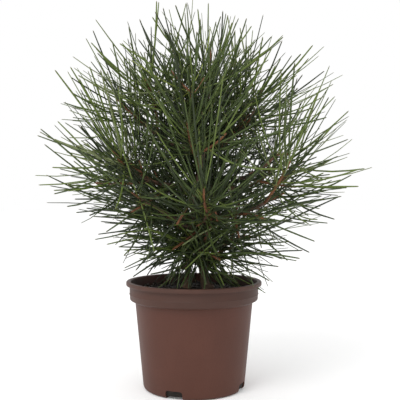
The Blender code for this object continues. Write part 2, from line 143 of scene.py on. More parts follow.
# Boughs, in the tiers of the solids. Angles are in degrees.
Tier = namedtuple("Tier", "name count first step leave elevation rise stem")
TIERS = (
    Tier("foot", 3, -36, 144, 0.130, -70, 24, 0.018),
    Tier("low", 5, -72, 72, 0.147, -38, 20, 0.040),
    Tier("skirt", 7, -87, 360 / 7, 0.181, -16, 26, 0.040),
    Tier("belt", 6, -90, 60, 0.217, 9, 40, 0.040),
    Tier("shoulder", 5, -30, 72, 0.262, 45, 62, 0.040),
)
SECOND_STEM_TIERS = ("foot", "low", "skirt")
SECOND_STEM_FACES = math.radians(200)
SECOND_STEM_SHARE = math.cos(math.radians(62))
SECOND_STEM_MASS = "belt_1"
TIER_STAGGER = 0.0060
ANGLE_JITTER = math.radians(4)
BOUGH_RADIUS = 0.0024
BOUGH_TIP_RADIUS = 0.0016
BOUGH_POINTS = 26
BOUGH_SIDES = 12
BOUGH_END = 0.0060
BOUGH_SWEEP = 0.36
BOUGH_RELIEF = BARK_RELIEF * 0.6
BOUGH_GRAIN = (520, 520, 520)
TIP_INSET = 0.0560
TOP_STEM_LENGTH = 0.0400
STEM_TIP_RADIUS = 0.0012

# Whorls that the photograph shows, by the tier that they belong to: the place of each one's heart, the
# azimuth and rise of its growth in degrees, and its number of needles
Whorl = namedtuple("Whorl", "tier x y z azimuth rise needles")
SHOWN_WHORLS = (
    Whorl("top", 0.018, 0.000, 0.362, 60, 86, 40),
    Whorl("shoulder", 0.066, -0.015, 0.313, 10, 58, 46),
    Whorl("shoulder", -0.045, -0.025, 0.323, 170, 62, 40),
    Whorl("shoulder", -0.075, -0.010, 0.308, 180, 45, 44),
    Whorl("shoulder", -0.005, -0.085, 0.269, -95, 66, 40),
    Whorl("belt", -0.076, -0.030, 0.252, 188, 34, 44),
    Whorl("skirt", -0.091, -0.020, 0.224, 184, 4, 26),
    Whorl("low", -0.052, -0.040, 0.201, 204, -26, 44),
    Whorl("belt", 0.109, 0.000, 0.241, 4, 34, 42),
    Whorl("skirt", 0.095, -0.020, 0.222, -12, -6, 24),
    Whorl("belt", 0.092, -0.065, 0.233, -60, 52, 30),
    Whorl("skirt", 0.010, -0.100, 0.206, -88, 44, 34),
    Whorl("low", 0.061, -0.045, 0.193, -28, -24, 40),
    Whorl("foot", 0.020, -0.040, 0.148, -60, -12, 26),
    Whorl("foot", -0.011, -0.030, 0.161, -140, -24, 28),
    Whorl("low", 0.044, -0.050, 0.180, -75, -48, 26),
    Whorl("low", -0.011, -0.080, 0.191, -110, -30, 24),
)

# The heart lies this share of the needled length behind the tip. A ruled shoot that ends within the crowding
# distance of a shown one is left out.
WHORL_HEART = 0.4
WHORL_FOOT_BACK = 0.0350
CROWDING = 0.0350

# Shoots. LEAD_RANGE, LEAD_NEEDLES and SIDE_SHARE run from the weakest mass to the strongest.
GOLDEN_TURN = math.pi * (3 - math.sqrt(5))
LEAD_RANGE = (-0.06, 0.70)
LEAD_LEAST = 0.05
LEAD_NEEDLES = (0.47, 1.17)
LEAD_STRAY = math.radians(20)
SIDE_SHARE = (0.24, 1.46)
SIDE_FROM = (0.10, 0.86)
SIDE_LENGTH = 0.0330
SIDE_LENGTH_RANGE = (0.4, 1.0)
SIDE_SPREAD = math.radians(46)
SIDE_SPREAD_RANGE = (0.7, 1.35)
SIDE_TURN = 0.5
SIDE_LEAN = 0.45
SIDE_NEEDLES = 0.53
SPUR_AT = (0.50, 0.75)
SPUR_LENGTH = 0.0220
SPUR_SPREAD = math.radians(55)
SPUR_NEEDLES = 0.49
SUNNY_WAY = (-0.80, -0.35, 0.48)
SUNNY_GAIN = 0.40
StemSpurs = namedtuple("StemSpurs", "count low high fall rise needles")
FOOT_SPURS = StemSpurs(20, 0.131, 0.180, math.radians(-51), math.radians(7), 0.77)
INNER_SPURS = StemSpurs(22, 0.190, 0.310, math.radians(0), math.radians(50), 0.80)
SHOOT_SIDES = 7
SHOOT_POINTS = 7
SHOOT_BEND = 0.45
SHOOT_TAPER = 0.35
BUD_LENGTH = 1.6

# Needles
NEEDLED_LENGTH = 0.0360
NEEDLE_NEAR = math.radians(14)
NEEDLE_FAR = math.radians(86)
NEEDLE_JITTER = math.radians(7)
NEEDLE_TURN = 0.3
NEEDLE_SPREAD = 0.12
NEEDLE_SHARES = (1.0, 0.8, 0.64, 0.5)
NEEDLE_CURL = 0.62
CURL_RANGE = (0.6, 1.4)
NEEDLE_LIFT = {"foot": -0.23, "low": 0.10, "skirt": 0.40}
UPPER_LIFT = 0.25
LIFT_RANGE = (0.2, 1.8)
BEND_STRAY = 0.10
SHOOT_VIGOUR = (0.86, 1.10)
REACH_SWELL = 0.14
REACH_SWELL_SCALE = 3.8
NEEDLE_TWIST = 0.7
NEEDLE_THICK = 0.62
NEEDLE_ALONG = (0.0, 0.12, 0.34, 0.58, 0.80, 0.985)
NEEDLE_SWELL = (0.62, 0.92, 1.0, 1.0, 0.95, 0.66)
NEEDLE_SECTION = ((-1.0, 0.0), (-0.55, 0.62), (0.0, 0.28), (0.55, 0.62), (1.0, 0.0), (0.0, -0.66))
POT_CLEARANCE = 0.0012
# Needle greens from darkest to lightest, used as painted shade and painted light: tint_of gives the dark
# ones to sprays low down and inside the crown and the light ones to sprays at the top and outside.
TINTS = (
    ("shade", (0.024, 0.036, 0.012)),
    ("deep", (0.050, 0.075, 0.018)),
    ("leaf", (0.100, 0.140, 0.028)),
    ("grey", (0.150, 0.180, 0.075)),
    ("fresh", (0.215, 0.265, 0.050)),
)
TINT_AT_HEART = 0.4
TINT_OUTWARDS = 3.2
TINT_HEART_SIZE = 0.35
TINT_UPWARDS = 7.0
TINT_STRAY = 0.9
NEEDLE_TIP_COLOUR = (0.16, 0.115, 0.045)

# Stage
FLOOR_RADIUS = 12
FLOOR_COLOUR = (0.93, 0.93, 0.93)
KEY_LIGHT_PLACE = (-0.7, -1.1, 1.5)
KEY_LIGHT_SIZE = 0.9
SENSOR_WIDTH = 36
NEAREST_SHOWN = 0.01


def colour_setting(name, description, default):
    """A colour that the user can change."""
    return FloatVectorProperty(
        name=name, description=description, subtype="COLOR", size=3, min=0, max=1, default=default
    )


class PinePotSettings(PropertyGroup):
    """Colours of the pot and its soil."""

    body_colour: colour_setting("Body colour", "Colour of the pot's moulded plastic", (0.080, 0.029, 0.019))
    band_colour: colour_setting(
        "Band colour",
        "Colour of the band below the lip, where the plastic looks greyer",
        (0.062, 0.029, 0.021),
    )
    soil_colour: colour_setting("Soil colour", "Colour of the damp potting soil", (0.016, 0.011, 0.007))


class PineWoodSettings(PropertyGroup):
    """Colours of the bark."""

    bark_colour: colour_setting("Bark colour", "Colour of the older grey-brown bark", (0.105, 0.062, 0.040))
    shoot_colour: colour_setting("Shoot colour", "Colour of the young reddish shoots", (0.190, 0.075, 0.030))


class PineNeedleSettings(PropertyGroup):
    """Sizes and numbers of the needles."""

    length: FloatProperty(
        name="Needle length",
        description="Length of a full-grown needle",
        default=0.0740,
        min=0.02,
        max=0.12,
        unit="LENGTH",
    )
    width: FloatProperty(
        name="Needle width",
        description="Width of a needle at its widest",
        default=0.0019,
        min=0.0005,
        max=0.005,
        unit="LENGTH",
    )
    per_shoot: IntProperty(
        name="Needles per shoot",
        description="Number of needles round the end of each shoot",
        default=28,
        min=4,
        max=90,
    )
    side_shoots: IntProperty(
        name="Side shoots",
        description="Number of side shoots on each mass's stem",
        default=2,
        min=0,
        max=12,
    )


class PineStageSettings(PropertyGroup):
    """Light and camera."""

    sky_strength: FloatProperty(
        name="Sky strength",
        description="Strength of the even white light from all round",
        default=1.0,
        min=0,
        max=5,
    )
    floor_glow: FloatProperty(
        name="Floor glow",
        description="Light of the floor's own, which hides its far edge against the white",
        default=0.10,
        min=0,
        max=2,
    )
    key_power: FloatProperty(
        name="Key light power",
        description="Power of the large soft light above the camera",
        default=14.0,
        min=0,
        max=500,
        unit="POWER",
    )
    camera_distance: FloatProperty(
        name="Camera distance",
        description="Distance from the plant's middle to the camera",
        default=0.715,
        min=0.2,
        max=5,
        unit="LENGTH",
    )
    camera_height: FloatProperty(
        name="Camera height",
        description="Height of the camera, which looks level",
        default=0.2066,
        min=0,
        max=2,
        unit="LENGTH",
    )
    lens: FloatProperty(
        name="Lens",
        description="Focal length on a sensor 36 mm wide",
        default=57.8,
        min=10,
        max=200,
    )


# Shader building


class Value:
    """A shader socket that can be used in sums."""

    def __init__(self, graph, socket):
        self.graph = graph
        self.socket = socket

    def _maths(self, operation, first, second):
        node = self.graph.node("ShaderNodeMath", {"operation": operation}, {0: first, 1: second})
        return node[0]

    def __add__(self, other):
        return self._maths("ADD", self, other)

    __radd__ = __add__

    def __sub__(self, other):
        return self._maths("SUBTRACT", self, other)

    def __rsub__(self, other):
        return self._maths("SUBTRACT", other, self)

    def __mul__(self, other):
        return self._maths("MULTIPLY", self, other)

    __rmul__ = __mul__

    def between(self, low, high):
        """The value's place between low and high, from nought to one."""
        node = self.graph.node(
            "ShaderNodeMapRange",
            {"clamp": True, "interpolation_type": "SMOOTHSTEP"},
            {"Value": self, "From Min": low, "From Max": high},
        )
        return node[0]


class Graph:
    """A new material and the nodes that feed its shader."""

    def __init__(self, name):
        self.material = bpy.data.materials.new(name)
        self.material.use_nodes = True
        self.tree = self.material.node_tree
        self.shader = self.tree.nodes["Principled BSDF"]

    def node(self, kind, settings, inputs):
        """Adds a node, sets it, fills its inputs with values or links, and gives its outputs."""
        made = self.tree.nodes.new(kind)
        for key, setting in settings.items():
            if key == "stops":
                self._set_ramp(made.color_ramp, setting)
            else:
                setattr(made, key, setting)
        for key, value in inputs.items():
            self._fill(made.inputs[key], value)
        return [Value(self, socket) for socket in made.outputs]

    def _set_ramp(self, ramp, stops):
        while len(ramp.elements) < len(stops):
            ramp.elements.new(0.5)
        for element, (place, colour) in zip(ramp.elements, stops):
            element.position = place
            element.color = (*colour, 1)

    def _fill(self, socket, value):
        if isinstance(value, Value):
            self.tree.links.new(value.socket, socket)
        elif hasattr(socket.default_value, "__len__") and len(value) < len(socket.default_value):
            socket.default_value = (*value, 1)
        else:
            socket.default_value = value

    def place(self):
        """The point in the object's own space."""
        return self.node("ShaderNodeTexCoord", {}, {})[3]

    def along_axes(self, place):
        """The X, Y and Z of a point."""
        return self.node("ShaderNodeSeparateXYZ", {}, {0: place})

    def stretched(self, place, scale):
        """A point with each axis scaled."""
        return self.node("ShaderNodeMapping", {}, {"Vector": place, "Scale": scale})[0]

    def noise(self, place, scale, detail=3.0, roughness=0.5):
        """Soft noise from nought to one."""
        inputs = {"Vector": place, "Scale": scale, "Detail": detail, "Roughness": roughness}
        return self.node("ShaderNodeTexNoise", {}, inputs)[0]

    def attribute(self, name):
        """A number kept on the mesh's points."""
        return self.node("ShaderNodeAttribute", {"attribute_name": name}, {})[2]

    def mix(self, share, first, second):
        """A colour between two colours."""
        node = self.node(
            "ShaderNodeMix",
            {"data_type": "RGBA", "clamp_factor": True},
            {"Factor": share},
        )
        mixer = node[2].socket.node
        self._fill(mixer.inputs[6], first)
        self._fill(mixer.inputs[7], second)
        return node[2]

    def bump(self, height, depth):
        """A surface normal raised by the height."""
        return self.node("ShaderNodeBump", {}, {"Height": height, "Distance": depth})[0]

    def finish(self, **sockets):
        """Fills the shader's sockets, whose names are given with underscores, and gives the material."""
        for name, value in sockets.items():
            title = name.replace("_", " ").title().replace("Ior", "IOR")
            self._fill(self.shader.inputs[title], value)
        return self.material


def scaled(colour, share):
    """A colour made lighter or darker."""
    return tuple(min(1.0, part * share) for part in colour)


def pot_plastic(settings):
    """Brown moulded plastic, satin, greyer on the band, with paler streaks along the lip that are part rub
    and part painted highlight.
    """
    graph = Graph("brown_pot_plastic")
    place = graph.place()
    height = graph.along_axes(place)[2]
    cloud = graph.noise(place, 26.0, 4.0)
    speck = graph.noise(place, 620.0, 2.0)
    streak = graph.noise(graph.stretched(place, (60.0, 60.0, 7.0)), 1.0, 3.0)
    body = tuple(settings.body_colour)
    band = tuple(settings.band_colour)
    base = graph.mix(height.between(BODY_TOP_HEIGHT - 0.001, BAND_FOOT_HEIGHT), body, band)
    base = graph.mix(cloud.between(0.35, 0.75) * 0.35, base, scaled(body, 1.28))
    base = graph.mix(speck.between(0.55, 0.75) * 0.22, base, scaled(body, 0.62))
    # Paler streaks along the top of the lip: part wear, part painted highlight.
    rub_and_highlight = height.between(POT_HEIGHT - LIP_THICKNESS, POT_HEIGHT) * streak.between(0.4, 0.7)
    base = graph.mix(rub_and_highlight * 0.35, base, scaled(band, 1.9))
    rough = 0.40 + streak * 0.16 + speck * 0.08
    relief = speck * 0.5 + streak * 0.5
    return graph.finish(
        base_color=base, roughness=rough, normal=graph.bump(relief, 0.00018), specular_ior_level=0.25
    )


def potting_soil(settings):
    """Damp dark peat with paler fibres."""
    graph = Graph("damp_potting_soil")
    place = graph.place()
    grain = graph.noise(place, 340.0, 5.0, 0.65)
    clump = graph.noise(place, 90.0, 4.0)
    dark = tuple(settings.soil_colour)
    base = graph.mix(clump.between(0.35, 0.7), scaled(dark, 0.5), scaled(dark, 1.5))
    base = graph.mix(grain.between(0.6, 0.78) * 0.7, base, scaled(dark, 4.2))
    relief = grain * 0.6 + clump * 0.4
    return graph.finish(base_color=base, roughness=0.86 + grain * 0.12, normal=graph.bump(relief, 0.0006))


def bark_of(name, colour, redness, settings):
    """Thin stringy bark, with long fissures and paler flakes."""
    graph = Graph(name)
    place = graph.place()
    fibre = graph.noise(graph.stretched(place, (900.0, 900.0, 120.0)), 1.0, 4.0, 0.6)
    patch = graph.noise(place, 70.0, 3.0)
    base = graph.mix(patch.between(0.35, 0.7), scaled(colour, 0.62), scaled(colour, 1.15))
    base = graph.mix(fibre.between(0.5, 0.72) * 0.6, base, scaled(colour, 1.75))
    base = graph.mix(patch.between(0.5, 0.75) * redness, base, tuple(settings.shoot_colour))
    return graph.finish(
        base_color=base,
        roughness=0.70 + fibre * 0.22,
        normal=graph.bump(fibre * 0.7 + patch * 0.3, 0.0005),
    )


def needle_green(name, colour):
    """Leathery needle: a painted highlight along its middle, a yellowish foot and a touch of brown at the
    tip.
    """
    graph = Graph(f"needle_{name}")
    place = graph.place()
    along = graph.attribute("along")
    middle = graph.attribute("middle")
    mottle = graph.noise(place, 150.0, 2.0)
    base = graph.mix(mottle.between(0.3, 0.7), scaled(colour, 0.82), scaled(colour, 1.2))
    # Painted highlight: the points down each needle's middle are mixed towards a paler green.
    base = graph.mix(middle * 0.42, base, tuple(c * 1.35 + 0.012 for c in colour))
    foot = (1 - along.between(0.0, 0.16)) * 0.55
    base = graph.mix(foot, base, (colour[0] * 1.6 + 0.02, colour[1] * 1.25 + 0.01, colour[2] * 0.9))
    tip = along.between(0.965, 1.0) * 0.6
    base = graph.mix(tip, base, NEEDLE_TIP_COLOUR)
    rough = 0.36 + mottle * 0.16
    return graph.finish(base_color=base, roughness=rough, specular_ior_level=0.28)


# The plant's layout, by the rule of the solids


class Mass:
    """One mass of needles: where its stem starts, which way it grows and where its leading shoot ends."""

    def __init__(self, name, tip, growth, stem_length):
        self.name = name
        self.tip = tip
        self.growth = growth
        self.start = tip - growth * stem_length

    @property
    def tier(self):
        return self.name.split("_")[0]


def direction(azimuth, elevation):
    """The unit vector at this azimuth from +X and this elevation."""
    flat = math.cos(elevation)
    return Vector((flat * math.cos(azimuth), flat * math.sin(azimuth), math.sin(elevation)))


def sweep(start, bend, end, share):
    """A point on the curve from start to end that heads for the bend between them."""
    rest = 1 - share
    return start * rest * rest + bend * 2 * share * rest + end * share * share


def crown_reach(towards):
    """How far the crown reaches from its middle. It is shorter where it draws in above the pot."""
    elevation = math.asin(max(-1.0, min(1.0, towards.z)))
    share = (CROWN_LOW_FROM - elevation) / (CROWN_LOW_FROM - CROWN_LOW_TO)
    share = max(0.0, min(1.0, share))
    smooth = share * share * (3 - 2 * share)
    low_reach = CROWN_LOW_REACH + CROWN_LOW_LEAN * towards.x
    return CROWN_REACH + (low_reach - CROWN_REACH) * smooth


def ragged_reach(towards):
    """How far needles reach, which varies softly from side to side."""
    return crown_reach(towards) * (1 + REACH_SWELL * noise.noise(towards * REACH_SWELL_SCALE))


def stem_shares():
    """Shares of the way up a stem, closest together in its flare."""
    return [(number / (STEM_POINTS - 1)) ** FLARE_CROWDING for number in range(STEM_POINTS)]


def trunk_points():
    """The trunk, which sways a little to the left on its way up."""
    points = [TRUNK_FOOT]
    for share in stem_shares():
        sway = TRUNK_SWAY * math.sin(math.pi * share**TRUNK_SWAY_POWER)
        points.append((TRUNK_FOOT + FOOT_LIFT).lerp(TRUNK_TIP, share) - Vector((sway, sway / 4, 0)))
    return points


def second_stem_points(mass):
    """The second stem, which bends forwards to the mass on its tip."""
    end = mass.start - mass.growth * GAP
    last = end - mass.growth * BOUGH_END
    rising = [sweep(SECOND_FOOT + FOOT_LIFT, SECOND_BEND, last, share) for share in stem_shares()]
    return [SECOND_FOOT, *rising, end]


def stem_at(points, height):
    """The middle of a stem at this height."""
    for lower, upper in zip(points, points[1:]):
        if height <= upper.z:
            break
    return lower.lerp(upper, (height - lower.z) / (upper.z - lower.z))


def lay_out():
    """The two stems' points, all the masses, and the boughs as pairs of mass and foot."""
    rng = random.Random(SEED)
    main_stem = trunk_points()
    masses = []
    leaving = []
    for tier in TIERS:
        for number in range(tier.count):
            angles = (tier.first + tier.step * number, tier.elevation, tier.rise)
            azimuth, up, rise = (
                math.radians(angle) + rng.uniform(-ANGLE_JITTER, ANGLE_JITTER) for angle in angles
            )
            towards = direction(azimuth, up)
            tip = CROWN + towards * (crown_reach(towards) - TIP_INSET)
            mass = Mass(f"{tier.name}_{number + 1}", tip, direction(azimuth, rise), tier.stem)
            masses.append(mass)
            faces_second = math.cos(azimuth - SECOND_STEM_FACES) > SECOND_STEM_SHARE
            on_second = tier.name in SECOND_STEM_TIERS and faces_second
            leaving.append((mass, tier.leave + TIER_STAGGER * (number % 3 - 1), on_second))
    side_stem = second_stem_points(next(mass for mass in masses if mass.name == SECOND_STEM_MASS))
    boughs = [
        (mass, stem_at(side_stem if on_second else main_stem, height))
        for mass, height, on_second in leaving
        if mass.name != SECOND_STEM_MASS
    ]
    way = (main_stem[-1] - main_stem[-2]).normalized()
    masses.append(Mass("top", TRUNK_TIP + way * (TOP_STEM_LENGTH + GAP), way, TOP_STEM_LENGTH))
    return main_stem, side_stem, masses, boughs


def bough_path(foot, mass):
    """A bough's points, from its stem's middle in a rising sweep to the start of its mass."""
    end = mass.start
    last = end - mass.growth * BOUGH_END
    bend = last - mass.growth * (last - foot).length * BOUGH_SWEEP
    swept = [sweep(foot, bend, last, number / (BOUGH_POINTS - 1)) for number in range(BOUGH_POINTS)]
    return [*swept, end]


class Shoot:
    """A shoot: its carrier's points behind its foot, its own points to its tip, and the needles it bears."""

    def __init__(self, behind, foot, tip, growth, thick, tier, needles):
        bend = tip - growth * (tip - foot).length * SHOOT_BEND
        shares = [number / (SHOOT_POINTS - 1) for number in range(SHOOT_POINTS)]
        self.path = [sweep(foot, bend, tip, share) for share in shares]
        self.behind = behind
        self.tip = tip
        self.growth = growth
        self.thick = thick
        self.tier = tier
        self.needles = needles

    def back(self, distance):
        """The point this far back from the tip along the wood, and the way the wood grows there."""
        points = [*self.behind, *self.path]
        for near, far in zip(reversed(points), reversed(points[:-1])):
            length = (near - far).length
            if length > 1e-6 and distance <= length:
                break
            distance -= length
        return near.lerp(far, min(1.0, distance / length)), (near - far).normalized()


def aside_from(growth, around, spread):
    """The direction that leaves the growth at this angle, on this side of it."""
    return growth.to_track_quat("Z", "Y") @ direction(around, math.pi / 2 - spread)


def between(ends, share):
    """The number at this share of the way between two others."""
    return ends[0] + (ends[1] - ends[0]) * share


def shoots_of(mass, bough, settings):
    """The shoots of one mass and of the bough that carries it."""
    rng = random.Random(f"{GROWTH_SEED} {mass.name}")
    vigour = rng.random()
    full = round(settings.per_shoot * between(LEAD_NEEDLES, vigour))
    lead = mass.start.lerp(mass.tip, max(LEAD_LEAST, between(LEAD_RANGE, vigour)))
    growth = aside_from(mass.growth, rng.uniform(0, math.tau), rng.uniform(0, LEAD_STRAY))
    shoots = [Shoot(bough, mass.start, lead, growth, BOUGH_TIP_RADIUS, mass.tier, full)]
    reach = (mass.tip - mass.start).length
    side_shoots = round(settings.side_shoots * between(SIDE_SHARE, vigour))
    for number in range(side_shoots):
        share = between(SIDE_FROM, (number + rng.random()) / side_shoots)
        foot = mass.start.lerp(lead, share)
        around = GOLDEN_TURN * number + rng.uniform(-SIDE_TURN, SIDE_TURN)
        way = aside_from(mass.growth, around, SIDE_SPREAD * rng.uniform(*SIDE_SPREAD_RANGE))
        length = min(SIDE_LENGTH, reach) * rng.uniform(*SIDE_LENGTH_RANGE)
        growth = (way + mass.growth * SIDE_LEAN).normalized()
        count = round(full * SIDE_NEEDLES)
        shoots.append(Shoot([], foot, foot + way * length, growth, STEM_TIP_RADIUS, mass.tier, count))
    for share in SPUR_AT if bough else ():
        at = share * (len(bough) - 1)
        foot = bough[int(at)].lerp(bough[int(at) + 1], at - int(at))
        along = (bough[int(at) + 1] - bough[int(at)]).normalized()
        way = aside_from(along, rng.uniform(0, math.tau), SPUR_SPREAD)
        growth = (way + along * SIDE_LEAN).normalized()
        length = SPUR_LENGTH * rng.uniform(*SIDE_LENGTH_RANGE)
        count = round(full * SPUR_NEEDLES)
        shoots.append(Shoot([], foot, foot + way * length, growth, STEM_TIP_RADIUS, mass.tier, count))
    return shoots


def stem_spurs(stems, spurs, tier, settings):
    """Short spurs on the two stems themselves, in a spiral from the lowest up."""
    rng = random.Random(f"{GROWTH_SEED} {tier} spurs")
    count = round(settings.per_shoot * spurs.needles)
    made = []
    for number in range(spurs.count):
        height = between((spurs.low, spurs.high), (number + rng.random()) / spurs.count)
        foot = stem_at(stems[number % len(stems)], height)
        growth = direction(GOLDEN_TURN * number, rng.uniform(spurs.fall, spurs.rise))
        tip = foot + growth * SPUR_LENGTH * rng.uniform(*SIDE_LENGTH_RANGE)
        made.append(Shoot([], foot, tip, growth, STEM_TIP_RADIUS, tier, count))
    return made


def shown_shoots(carriers):
    """The shoots that end in the shown whorls, each from the nearest wood behind it."""
    made = []
    for whorl in SHOWN_WHORLS:
        growth = direction(math.radians(whorl.azimuth), math.radians(whorl.rise))
        heart = Vector((whorl.x, whorl.y, whorl.z))
        behind = heart - growth * WHORL_FOOT_BACK
        foot = min(carriers, key=lambda point: (point - behind).length)
        tip = heart + growth * NEEDLED_LENGTH * WHORL_HEART
        made.append(Shoot([], foot, tip, growth, BOUGH_TIP_RADIUS, whorl.tier, whorl.needles))
    return made


def all_shoots(settings):
    """Every shoot of the crown."""
    main_stem, side_stem, masses, boughs = lay_out()
    carried = {mass.name: bough_path(foot, mass) for mass, foot in boughs}
    carried[SECOND_STEM_MASS] = side_stem
    shown = shown_shoots([point for path in (main_stem, *carried.values()) for point in path[1:]])
    ruled = [shoot for mass in masses for shoot in shoots_of(mass, carried.get(mass.name, []), settings)]
    ruled += stem_spurs((main_stem, side_stem), FOOT_SPURS, "foot", settings)
    ruled += stem_spurs((main_stem,), INNER_SPURS, "belt", settings)
    free = [shoot for shoot in ruled if min((shoot.tip - other.tip).length for other in shown) > CROWDING]
    return shown + free


# Small things made from arrays


def mesh_of(name, points, faces, materials, tints=None, numbers=None):
    """One object from arrays, with a material for each face and named numbers on its points."""
    mesh = bpy.data.meshes.new(name)
    mesh.from_pydata(points.reshape(-1, 3).tolist(), [], faces)
    for material in materials:
        mesh.materials.append(material)
    if tints is not None:
        mesh.polygons.foreach_set("material_index", np.asarray(tints, dtype=np.int32))
    for key, values in (numbers or {}).items():
        layer = mesh.attributes.new(key, "FLOAT", "POINT")
        layer.data.foreach_set("value", np.asarray(values, dtype=np.float32).ravel())
    mesh.shade_smooth()
    mesh.update()
    obj = bpy.data.objects.new(name, mesh)
    bpy.context.scene.collection.objects.link(obj)
    return obj


def unit(vectors):
    """The vectors at length one."""
    return vectors / np.maximum(np.linalg.norm(vectors, axis=-1, keepdims=True), 1e-12)


def tube_faces(rings, sides, first):
    """The faces of one closed tube whose points start at this number, with a point at its tip."""
    faces = [[first + side for side in reversed(range(sides))]]
    for ring in range(rings - 1):
        low = first + ring * sides
        for side in range(sides):
            after = (side + 1) % sides
            faces.append([low + side, low + after, low + sides + after, low + sides + side])
    last = first + (rings - 1) * sides
    tip = first + rings * sides
    for side in range(sides):
        faces.append([last + side, last + (side + 1) % sides, tip])
    return faces


def clear_of_pot(points):
    """Whether every point is outside the pot, above it, or in its mouth above the soil."""
    out = np.hypot(points[:, 0], points[:, 1])
    outside = (out > LIP_RADIUS + POT_CLEARANCE) | (points[:, 2] > POT_HEIGHT + POT_CLEARANCE)
    mouth = (out < BAND_RADIUS - WALL - POT_CLEARANCE) & (points[:, 2] > SOIL_HEIGHT + POT_CLEARANCE)
    return bool((outside | mouth).all())


class Needle(namedtuple("Needle", "root way bend length face tint")):
    """A needle: its root, first direction, how it bends, its length and which way its grooved side faces."""

    def points(self):
        """Its middle line and its direction at each ring, and at its tip."""
        along = np.array([*NEEDLE_ALONG, 1.0])[:, None]
        way, bend = np.array(self.way), np.array(self.bend)
        path = np.array(self.root) + self.length * (way * along + bend * along**2 / 2)
        return path, unit(way + bend * along)


def grown_needles(settings):
    """Every needle, by tier."""
    rng = random.Random(GROWTH_SEED)
    grown = {}
    for shoot in all_shoots(settings):
        grown.setdefault(shoot.tier, []).extend(needles_on(shoot, rng, settings))
    return grown


def needles_on(shoot, rng, settings):
    """The whorl of needles round the end of one shoot."""
    tint = tint_of(shoot, rng)
    vigour = rng.uniform(*SHOOT_VIGOUR)
    lift = NEEDLE_LIFT.get(shoot.tier, UPPER_LIFT)
    sunny = (shoot.tip - CROWN).normalized().dot(Vector(SUNNY_WAY))
    count = round(shoot.needles * (1 + SUNNY_GAIN * sunny))
    made = []
    for number in range(count):
        back = number / count
        root, along = shoot.back(NEEDLED_LENGTH * back)
        growth = (along + shoot.growth).normalized()
        lean = NEEDLE_NEAR + (NEEDLE_FAR - NEEDLE_NEAR) * math.sqrt(back)
        lean += rng.uniform(-NEEDLE_JITTER, NEEDLE_JITTER)
        way = aside_from(growth, GOLDEN_TURN * number + rng.uniform(-NEEDLE_TURN, NEEDLE_TURN), lean)
        bend = growth * NEEDLE_CURL * rng.uniform(*CURL_RANGE) + UP * lift * rng.uniform(*LIFT_RANGE)
        bend += Vector([rng.uniform(-BEND_STRAY, BEND_STRAY) for _ in range(3)])
        full = settings.length * vigour * (1 + rng.uniform(-NEEDLE_SPREAD, NEEDLE_SPREAD))
        face = shoot.growth + Vector([rng.uniform(-NEEDLE_TWIST, NEEDLE_TWIST) for _ in range(3)])
        own = max(0, min(len(TINTS) - 1, tint + rng.choice((-1, 0, 0, 0, 1))))
        for share in NEEDLE_SHARES:
            needle = Needle(root, way, bend, full * share, face, own)
            path, _ = needle.points()
            if clear_of_pot(path[1:]):
                away = Vector(path[-1]) - CROWN
                if away.length < ragged_reach(away.normalized()):
                    made.append(needle)
                break
    return made


def tint_of(shoot, rng):
    """The tint of a spray: lighter towards the top and outside and darker low down and inside, as painted
    light and painted shade.
    """
    away = shoot.tip - CROWN
    out = away.length / CROWN_REACH
    level = TINT_AT_HEART + TINT_OUTWARDS * (out - TINT_HEART_SIZE) + TINT_UPWARDS * away.z
    level += rng.uniform(-TINT_STRAY, TINT_STRAY)
    return max(0, min(len(TINTS) - 1, round(level)))


def needle_piece(name, needles, settings, materials):
    """All of one tier's needles as one object."""
    sides = len(NEEDLE_SECTION)
    rings = len(NEEDLE_ALONG)
    paths, ways, faces_up = [], [], []
    for needle in needles:
        path, way = needle.points()
        paths.append(path)
        ways.append(way)
        faces_up.append(needle.face)
    paths, ways = np.array(paths), np.array(ways)
    faces_up = np.array(faces_up)[:, None, :]
    across = unit(np.cross(ways, faces_up))
    normal = np.cross(across, ways)
    section = np.array(NEEDLE_SECTION)
    swell = np.array(NEEDLE_SWELL) * settings.width / 2
    sideways = swell[None, :, None, None] * section[None, None, :, :1] * across[:, :rings, None, :]
    upwards = swell[None, :, None, None] * section[None, None, :, 1:] * normal[:, :rings, None, :]
    skin = paths[:, :rings, None, :] + sideways + upwards * NEEDLE_THICK
    points = np.concatenate([skin.reshape(len(needles), -1, 3), paths[:, rings:, :]], axis=1)
    each = rings * sides + 1
    faces, tints = [], []
    for number, needle in enumerate(needles):
        own = tube_faces(rings, sides, number * each)
        faces += own
        tints += [needle.tint] * len(own)
    along = np.append(np.repeat(NEEDLE_ALONG, sides), 1.0)
    # The points down each needle's middle, which its material paints paler as a highlight.
    middle = np.append(np.tile(np.abs(section[:, 0]) < 0.1, rings), 0.0)
    numbers = {"along": np.tile(along, len(needles)), "middle": np.tile(middle, len(needles))}
    return mesh_of(name, points, faces, materials, tints, numbers)


def shoot_piece(name, shoots, material):
    """The twigs under the needles as one object, each bent a little and tapering to a bud."""
    points, faces = [], []
    for shoot in shoots:
        along = np.linspace(0, 1, SHOOT_POINTS)[:, None]
        path = np.array([tuple(point) for point in shoot.path])
        way = unit(np.gradient(path, axis=0))
        across = unit(np.cross(way, (0.31, 0.52, 0.79)))
        normal = np.cross(way, across)
        turn = np.linspace(0, math.tau, SHOOT_SIDES, endpoint=False)
        radius = shoot.thick * (1 - SHOOT_TAPER * along)
        sideways = np.cos(turn)[None, :, None] * across[:, None, :]
        upwards = np.sin(turn)[None, :, None] * normal[:, None, :]
        ring = radius[:, None] * (sideways + upwards)
        first = sum(len(part) for part in points)
        bud = path[-1:] + way[-1:] * shoot.thick * BUD_LENGTH
        points.append(np.concatenate([(path[:, None, :] + ring).reshape(-1, 3), bud]))
        faces += tube_faces(SHOOT_POINTS, SHOOT_SIDES, first)
    return mesh_of(name, np.concatenate(points), faces, [material])


# Pieces modelled


